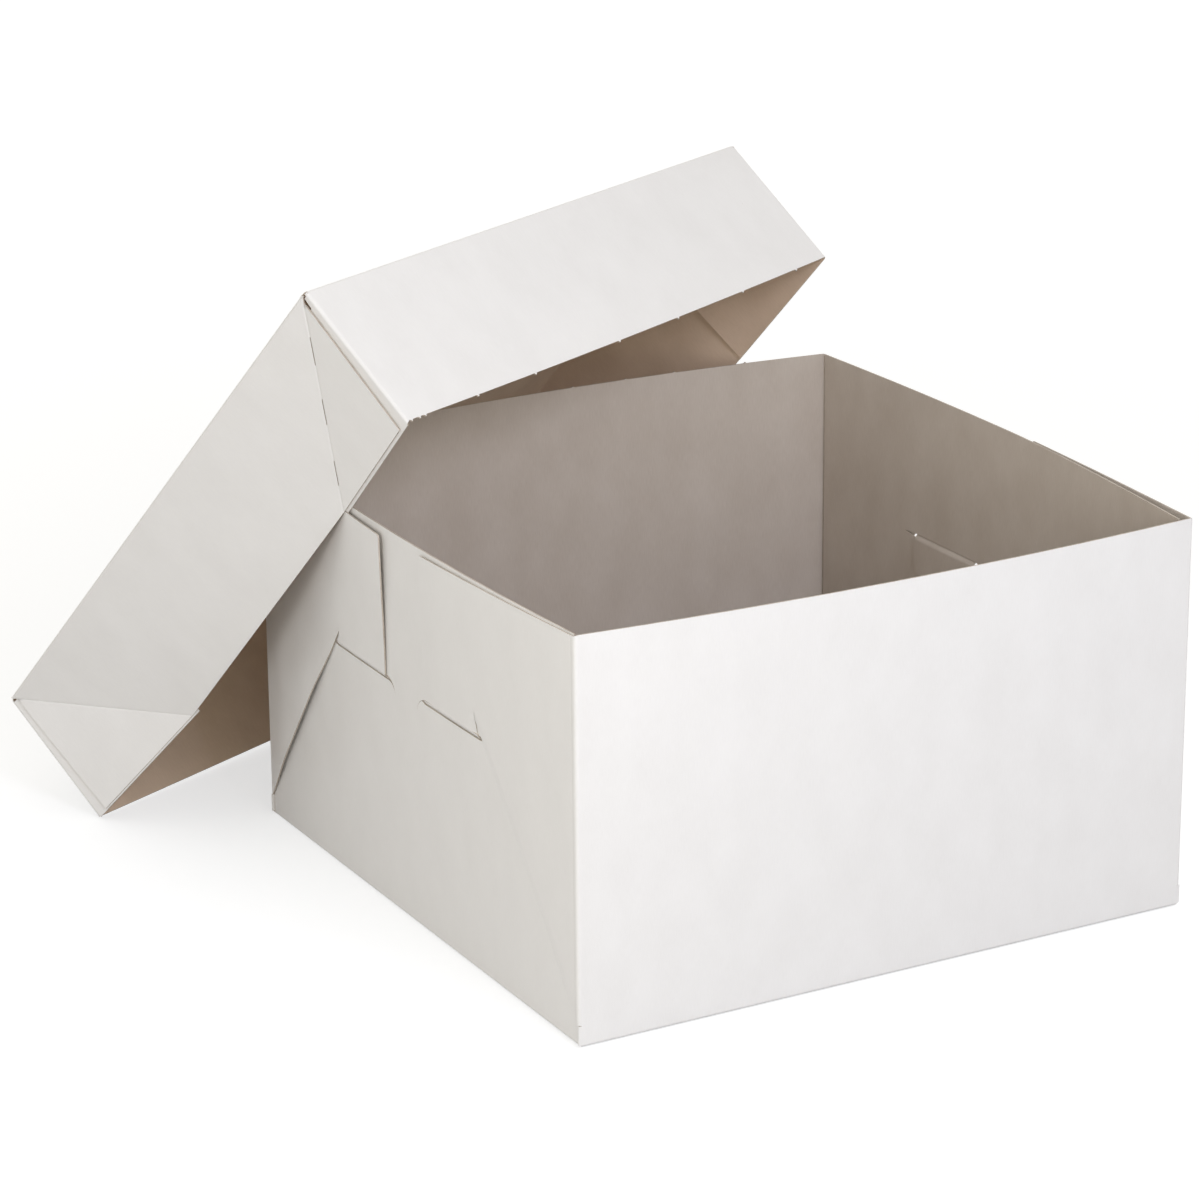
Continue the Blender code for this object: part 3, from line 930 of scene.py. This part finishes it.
# %% Planes of the lid
LID_SIDE, LID_END = 130.2, 129.9    # middle of the side walls, and of the end walls
GLUE = 129.3            # middle of the glue flaps, inside the side walls
RIM = 60.7              # depth of the rim
VERTEX = 128.6          # where a diagonal would meet the top crease
LID_NICKS = [-126.9, -122.1, -118.7, -87.1, -52.7, -2.0, 34.3, 75.3, 109.7]
LEAN = 3.0              # how far the front wall's rim leans in at its left corner, mm
HOLLOW = 2.5            # how much further it leans in at its middle
PINCH = 3.0             # how far the rim's front-left corner is pushed in sideways, mm


def crown(a, h):
    """A slight fullness of the back wall, 0.8 mm in the middle of the rim."""
    return 0.8 * (1 - np.clip(a / GLUE, -1, 1) ** 2) * np.clip(-h / RIM, 0, 1)


def lean(a, h):
    """The front wall leans in: LEAN at the left corner, nothing at the right one and HOLLOW more between."""
    x = np.clip(a / GLUE, -1, 1)
    return -(LEAN * (1 - x) / 2 + HOLLOW * (1 - x * x)) * np.clip(-h / RIM, 0, 1)


def lid_front(a, h):
    """The front wall: its left end slants by PINCH over its height, fading out towards the right end."""
    pushed = a + PINCH * np.clip(-h / RIM, 0, 1) * np.clip(-a / GLUE, 0, 1) ** 3
    return standing(FRONT, LID_END, lean, on_lid)(pushed, h)


lid_back = standing(BACK, LID_END, crown, on_lid)
print("rim corner over the table:", on_lid(np.array([-LID_SIDE, LID_END, -RIM])).round(1))


# %% The top and the end walls of the lid
def lid_top(a, h):
    """The top panel, with 0.6 mm of fullness in the middle."""
    a, h = spread(a, h)
    full = 0.6 * (1 - np.clip(a / LID_SIDE, -1, 1) ** 2) * (1 - np.clip(h / LID_END, -1, 1) ** 2)
    return on_lid(np.stack([a, h, full], -1))


across, along = steps(-(LID_SIDE - ROUND), LID_SIDE - ROUND, every=12), LID_END - ROUND
panel("lid_top", "lid", lid_top, [ruled(across, -along, along, 22)], shift=(400, 90))
for name, lay, places in (("lid_front_wall", lid_front, LID_NICKS), ("lid_back_wall", lid_back, [-70.0, 22.0])):
    along = columns_with(-(GLUE - ROUND), GLUE - ROUND, places)
    panel(name, "lid", lay, [ruled(along, -RIM - nicks(along, places), -ROUND, 12)], shift=(700, 300))

# %% [markdown]
# A side wall that is folded in along its diagonals is a small origami problem. The trapezoid between the
# diagonals turns about the top crease, and each corner triangle turns about the corner, and they must agree
# along the diagonal, whose length can't change. If the rim end of the diagonal moves in by w, then it also
# moves towards the corner and the top, by the factor k with 2 k^2 60.7^2 + w^2 = 2 60.7^2.


# %% The creased side walls
def kink(w):
    """The factor that keeps a diagonal's length when its rim end moves in by w."""
    return np.sqrt(1 - w * w / (2 * RIM * RIM))


def creased_wall(azimuth, kink_left, kink_right):
    """Middle surface between the diagonals: ruled from top crease to rim, with both rim ends moved in."""
    right_way, out = directions(azimuth)

    def lay(a, h):
        a, h = spread(a, h)
        deep = -h
        place = a / (VERTEX - deep)
        w = kink_left + (kink_right - kink_left) * (place + 1) / 2
        along = place * (VERTEX - kink(w) * deep)
        out_by = LID_SIDE - w * deep / RIM
        point = along[..., None] * right_way + out_by[..., None] * out
        return on_lid(point + (-kink(w) * deep)[..., None] * UP)
    return lay


def corner_triangle(azimuth, side, w, layer=0.0, leaning=0.0, pinch=0.0, spring=0.0):
    """Plane of a corner triangle: e along the diagonal and the rest down the corner, layer mm further in.

    The corner itself leans along the wall by leaning and inwards by pinch at the rim. Past the diagonal a
    glue flap springs away from the wall, by spring for each mm.
    """
    right_way, out = directions(azimuth)
    diagonal = -kink(w) * side * right_way - (w / RIM) * out - kink(w) * UP
    down = -UP - (leaning / RIM) * side * right_way - (pinch / RIM) * out

    def lay(a, h):
        a, h = spread(a, h)
        e = VERTEX - side * a
        reach = LID_SIDE - layer - spring * np.clip(e + h, 0, None)
        base = side * VERTEX * right_way + reach[..., None] * out
        return on_lid(base + e[..., None] * diagonal + (-h - e)[..., None] * down)
    return lay


print("a kink of 10 mm shortens the diagonal's run by %.2f mm" % (RIM * (1 - kink(10.0))))

# %% [markdown]
# Along the near diagonal of the left wall the crease is perforated: three short cuts go right through. The
# trapezoid and the triangle share the diagonal as an edge, and at each cut both edges step back a little.

# %% Rows along the diagonals
CUTS = [(11.5, 19.6), (28.7, 36.2), (46.0, 53.3)]


def rows_with_cuts(low, high, cuts):
    """Heights along a diagonal, doubled at the ends of each cut."""
    close = [v for start, stop in cuts for v in (start, start + 0.3, stop - 0.3, stop)]
    return -np.unique(np.round(np.concatenate([steps(low, high, every=5), close]), 4))[::-1]


def step_back(h, cuts, wide=0.32):
    """How far an edge steps back from the diagonal at height h: wide inside a cut, and nothing outside it."""
    deep = -h
    back_by = np.zeros_like(deep)
    for start, stop in cuts:
        back_by = np.where((deep > start + 0.1) & (deep < stop - 0.1), wide, back_by)
    return back_by


print("rows on the cut diagonal:", len(rows_with_cuts(ROUND, RIM, CUTS)))

# %% The side walls and their corner triangles
LID_SIDES = {
    # name: azimuth, kink at its left end, kink at its right end (seen from outside), cuts left, cuts right
    "left": (LEFT, 17.0, 10.6, [], CUTS),
    "right": (RIGHT, 0.5, 6.0, [], []),
}
LID_CORNER = {
    # wall and end: corner
    ("left", -1): "back_left", ("left", 1): "front_left",
    ("right", -1): "front_right", ("right", 1): "back_right",
}
LEANING = {"front_left": (LEAN, PINCH)}   # corner: its lean along the wall and inwards, at the rim
OUTER_EDGE, SLANT = 126.5, 2.2          # a triangle's free edge below the top crease, and its slant to the rim
wall_of_lid = {}


def from_diagonal(a, h):
    """Distance from the diagonals, for the pressed line."""
    return (VERTEX - np.abs(a) + h) / np.sqrt(2)


def for_end(patch, side):
    """A patch drawn for the right end of a wall, mirrored for side -1."""
    return patch if side > 0 else patch[:, ::-1] * np.array([-1.0, 1.0])


for name, (azimuth, kink_left, kink_right, cuts_left, cuts_right) in LID_SIDES.items():
    wall_of_lid[name] = creased_wall(azimuth, kink_left, kink_right)
    heights = rows_with_cuts(ROUND, RIM, cuts_left + cuts_right)
    left_edge = -(VERTEX + heights) + step_back(heights, cuts_left)
    right_edge = VERTEX + heights - step_back(heights, cuts_right)
    panel(f"lid_{name}_wall", "lid", wall_of_lid[name], [ruled_sideways(heights, left_edge, right_edge, 40)],
          score=from_diagonal, shift=(1100 + azimuth, 500))
    for side, w, cuts in ((-1, kink_left, cuts_left), (1, kink_right, cuts_right)):
        corner = LID_CORNER[(name, side)]
        heights = rows_with_cuts(0.0, RIM, cuts)
        inner = VERTEX + heights + step_back(heights, cuts)
        outer = OUTER_EDGE + SLANT * heights / RIM - 0.5 * (1 - smooth((-heights - 2.0) / 5.0))
        patch = for_end(ruled_sideways(heights, inner, outer, 14), side)
        triangle = corner_triangle(azimuth, side, w, 0.0, *LEANING.get(corner, (0.0, 0.0)))
        panel(f"lid_{corner}_gusset", "lid", triangle, [patch],
              score=from_diagonal, shift=(1100 + azimuth, 500))

# %% [markdown]
# The glue flaps are the ends of the front and back walls. They turn the corner inside the triangles, are glued
# to them, and are cut square a little past the diagonal. Their free end keeps the triangle's plane, so from
# inside the lid it stands clear of the wall, which turns away there.

# %% The glue flaps and their corner bends
GLUE_FLAPS = {
    # corner: length from the corner, depth of its rim, mm inside the triangle, mm of spring for each mm
    "front_left": (62.0, 61.9, 0.95, 0.0),
    "front_right": (65.5, 60.9, 0.66, 0.09),
    "back_left": (65.5, 61.35, 0.66, 0.0),
    "back_right": (65.5, 60.8, 0.66, 0.05),
}
GAP_AT = [125.4, 125.9, 126.9, 127.4]       # a little gap at the near flap's top, by the triangle's free edge


def glue_flap(corner, side):
    """Flat patch of a glue flap: square, 2 mm under the top crease, and 3.8 mm lower in the near one's gap."""
    length, rim, _, _ = GLUE_FLAPS[corner]
    d = steps(LID_END + HALF - length, 124.0, LID_END - ROUND, every=5)
    d = np.unique(np.concatenate([d, GAP_AT, [126.6]]))
    gap = 3.8 * (corner == "front_left") * np.interp(d, GAP_AT, [0, 1, 1, -0.2])
    return for_end(ruled(d, -rim, -2.0 - gap, 14), side)


for (wall_name, side), corner in LID_CORNER.items():
    azimuth, kink_left, kink_right = LID_SIDES[wall_name][:3]
    layer, spring = GLUE_FLAPS[corner][2:]
    lay = corner_triangle(azimuth, side, kink_left if side < 0 else kink_right, layer,
                          *LEANING.get(corner, (0.0, 0.0)), spring=spring)
    panel(f"lid_{corner}_glue_flap", "lid", lay, [glue_flap(corner, side)], shift=(1500 + azimuth, 700))
    wall = lid_front if corner.startswith("front") else lid_back
    surface = corner_bend(end_of(lay, side, LID_END), end_of(wall, -side, GLUE), side)
    t = np.linspace(0, 1, 9)
    near = corner == "front_left"
    low, high = -(RIM + (0.9 * (1 - t) if near else 0.0)), -0.5 if near else -1.1
    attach(board(f"lid_{corner}_corner_crease", surface, [ruled(t, low, high, 12)]), "lid")

# %% [markdown]
# Last, the bends round the four edges of the lid's top. They join the top panel and each wall, and at the
# corners they are cut at 45 degrees, as the die leaves them.

# %% The bends round the lid's top
for name, azimuth, reach, wall, start, length in (
    ("front", FRONT, LID_END, lid_front, -(GLUE - 0.1), GLUE),
    ("back", BACK, LID_END, lid_back, -GLUE, GLUE),
    ("left", LEFT, LID_SIDE, wall_of_lid["left"], -VERTEX, VERTEX),
    ("right", RIGHT, LID_SIDE, wall_of_lid["right"], -VERTEX, VERTEX),
):
    over = flat_edge(azimuth, reach - ROUND, 0.0, on_lid)
    surface = lengthwise(bend(lambda q, i, wall=wall: wall(q, -ROUND - i), over))
    rows = np.linspace(0, 1, 6)
    cut = 0.9 * (1 - (1 - rows) ** 2)
    strip = board(f"lid_{name}_top_crease", surface, [ruled_sideways(rows, start + cut, length - cut, 40)])
    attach(strip, "lid")
lid_pieces = [o for o in bpy.data.objects if o.name.startswith("lid_") and o.get("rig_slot")]
print("the lid has", len(lid_pieces), "pieces")

# %% [markdown]
# ## Floor, light and camera
#
# The photo has a pure white ground and very soft light: a wide fill, and gentle lamps from the front and the
# left that make the faces whitest near the front-left corner. The fill is a little warm and the front lamp a
# little cool, so the shaded faces turn beige as in the photo and the front stays neutral. Camera rays see the
# world and the floor brighter than they light the box, so the ground is white and nothing on the box clips.


# %% A floor that stays white and keeps the shadow
def share_of_camera_rays(tree, low, high):
    """A value that is high for rays that only look, and low for rays that carry light."""
    path = node(tree, "LightPath").outputs
    looks = node(tree, "Math", {0: path["Is Camera Ray"], 1: path["Is Glossy Ray"]}, operation="MAXIMUM")
    share = node(tree, "MapRange", {"To Min": low, "To Max": high, "Value": looks.outputs[0]})
    return share.outputs["Result"]


FLOOR_REACH = 6.0       # m
floor_mesh = bpy.data.meshes.new("floor")
floor_mesh.from_pydata([(x * FLOOR_REACH, y * FLOOR_REACH, 0) for x, y in ((-1, -1), (1, -1), (1, 1), (-1, 1))],
                       [], [(0, 1, 2, 3)])
floor_mesh.transform(Matrix.Translation((0, 0, -0.0002)))
pale, tree, paint = new_material("pale_floor")
paint["Base Color"].default_value = (0.48, 0.48, 0.48, 1)
paint["Roughness"].default_value = 0.95
paint["Specular IOR Level"].default_value = 0.0
paint["Emission Color"].default_value = (0.98, 0.99, 1, 1)
# The lamps light the far floor less, so it glows more.
where = node(tree, "TexCoord").outputs["Object"]
distance = node(tree, "VectorMath", {0: where}, operation="LENGTH").outputs["Value"]
further = node(tree, "MapRange", {"From Min": 0.25, "From Max": 1.6, "To Min": 0.63, "To Max": 0.77,
                                  "Value": distance}, interpolation_type="SMOOTHSTEP").outputs["Result"]
glow = node(tree, "Math", {0: share_of_camera_rays(tree, 0.0, 1.0), 1: further}, operation="MULTIPLY")
tree.links.new(glow.outputs[0], paint["Emission Strength"])
floor_mesh.materials.append(pale)
floor = added("floor", floor_mesh)
floor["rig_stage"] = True
print("floor of", 2 * FLOOR_REACH, "m")

# %% The world
WARM_FILL, WHITE = (1.0, 0.962, 0.89, 1), (1, 1, 1, 1)
FILL, MORE_TOWARDS = 0.68, (0.24, 0.44, 0.0)    # 0.68 + 0.24 x + 0.44 y: more from the right and from behind

world = bpy.data.worlds.new("studio")
world.use_nodes = True
bpy.context.scene.world = world
tree = world.node_tree
backdrop = tree.nodes["Background"].inputs
hue = node(tree, "Mix", {"A": WARM_FILL, "B": WHITE, "Factor": share_of_camera_rays(tree, 0.0, 1.0)},
           data_type="RGBA")
tree.links.new(hue.outputs["Result"], backdrop["Color"])
direction = node(tree, "TexCoord").outputs["Generated"]
tilt = node(tree, "VectorMath", {0: direction, 1: MORE_TOWARDS}, operation="DOT_PRODUCT").outputs["Value"]
fill = node(tree, "Math", {0: tilt, 1: FILL}).outputs[0]
tree.links.new(share_of_camera_rays(tree, fill, 1.0), backdrop["Strength"])
print("world:", len(tree.nodes), "nodes")

# %% The lamps
LAMP_SIZE, LAMP_AIM = 0.42, (0, 0, 0.1)         # m
LAMPS = [
    # name, place in metres, watts, colour
    ("near_camera", (-0.46, -0.98, 0.42), 2.0, (1.03, 1.0, 0.89)),
    ("left", (-1.05, -0.60, 0.35), 2.85, (1.02, 0.98, 0.93)),
    ("front", (0.0, -1.05, 0.78), 5.3, (0.965, 0.99, 1.135)),
]


def placed(x_axis, y_axis, z_axis, origin):
    """4 x 4 matrix whose columns are three axes and the origin."""
    return Matrix(np.vstack([np.column_stack([x_axis, y_axis, z_axis, origin]), (0, 0, 0, 1)]).tolist())


for name, place, watts, colour in LAMPS:
    light = bpy.data.lights.new(name, "AREA")
    light.size, light.energy, light.color = LAMP_SIZE, watts, colour
    lamp = added(name, light)
    away = np.subtract(place, LAMP_AIM) / np.linalg.norm(np.subtract(place, LAMP_AIM))
    aside = np.cross((0, 0, 1), away)
    aside /= np.linalg.norm(aside)
    lamp.matrix_world = placed(aside, np.cross(away, aside), away, place)

# %% [markdown]
# The camera was fitted to the box's corners in the photo: a long lens, 19 degrees above the table, looking
# along the diagonal from the front left. The fit gives the place, the three angles and the focal length.

# %% The camera
CAMERA_AT = (-0.7864, -1.3492, 0.6442)          # m
YAW, PITCH, ROLL = 28.669, 19.026, -0.495       # degrees: to the right of Y, down, and about the view
camera_data = bpy.data.cameras.new("photo_view")
camera_data.sensor_width = 36.0
camera_data.lens = 130.7
camera = added("photo_view", camera_data)
yaw, pitch, roll = np.radians([YAW, PITCH, ROLL])
ahead = np.array([np.sin(yaw), np.cos(yaw), 0.0])
rightward = np.array([np.cos(yaw), -np.sin(yaw), 0.0])
look = np.cos(pitch) * ahead - np.sin(pitch) * UP
above = np.cos(pitch) * UP + np.sin(pitch) * ahead
camera_x = np.cos(roll) * rightward + np.sin(roll) * above
camera_y = -np.sin(roll) * rightward + np.cos(roll) * above
camera.matrix_world = placed(camera_x, camera_y, -look, CAMERA_AT)
bpy.context.scene.camera = camera
bpy.context.scene.view_settings.view_transform = "Standard"
print("camera at", [round(v, 3) for v in camera.location], "lens", camera_data.lens)

# %% The visual box
low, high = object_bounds()
print("visual box in metres:", [round(v, 4) for v in (*low, *high)])
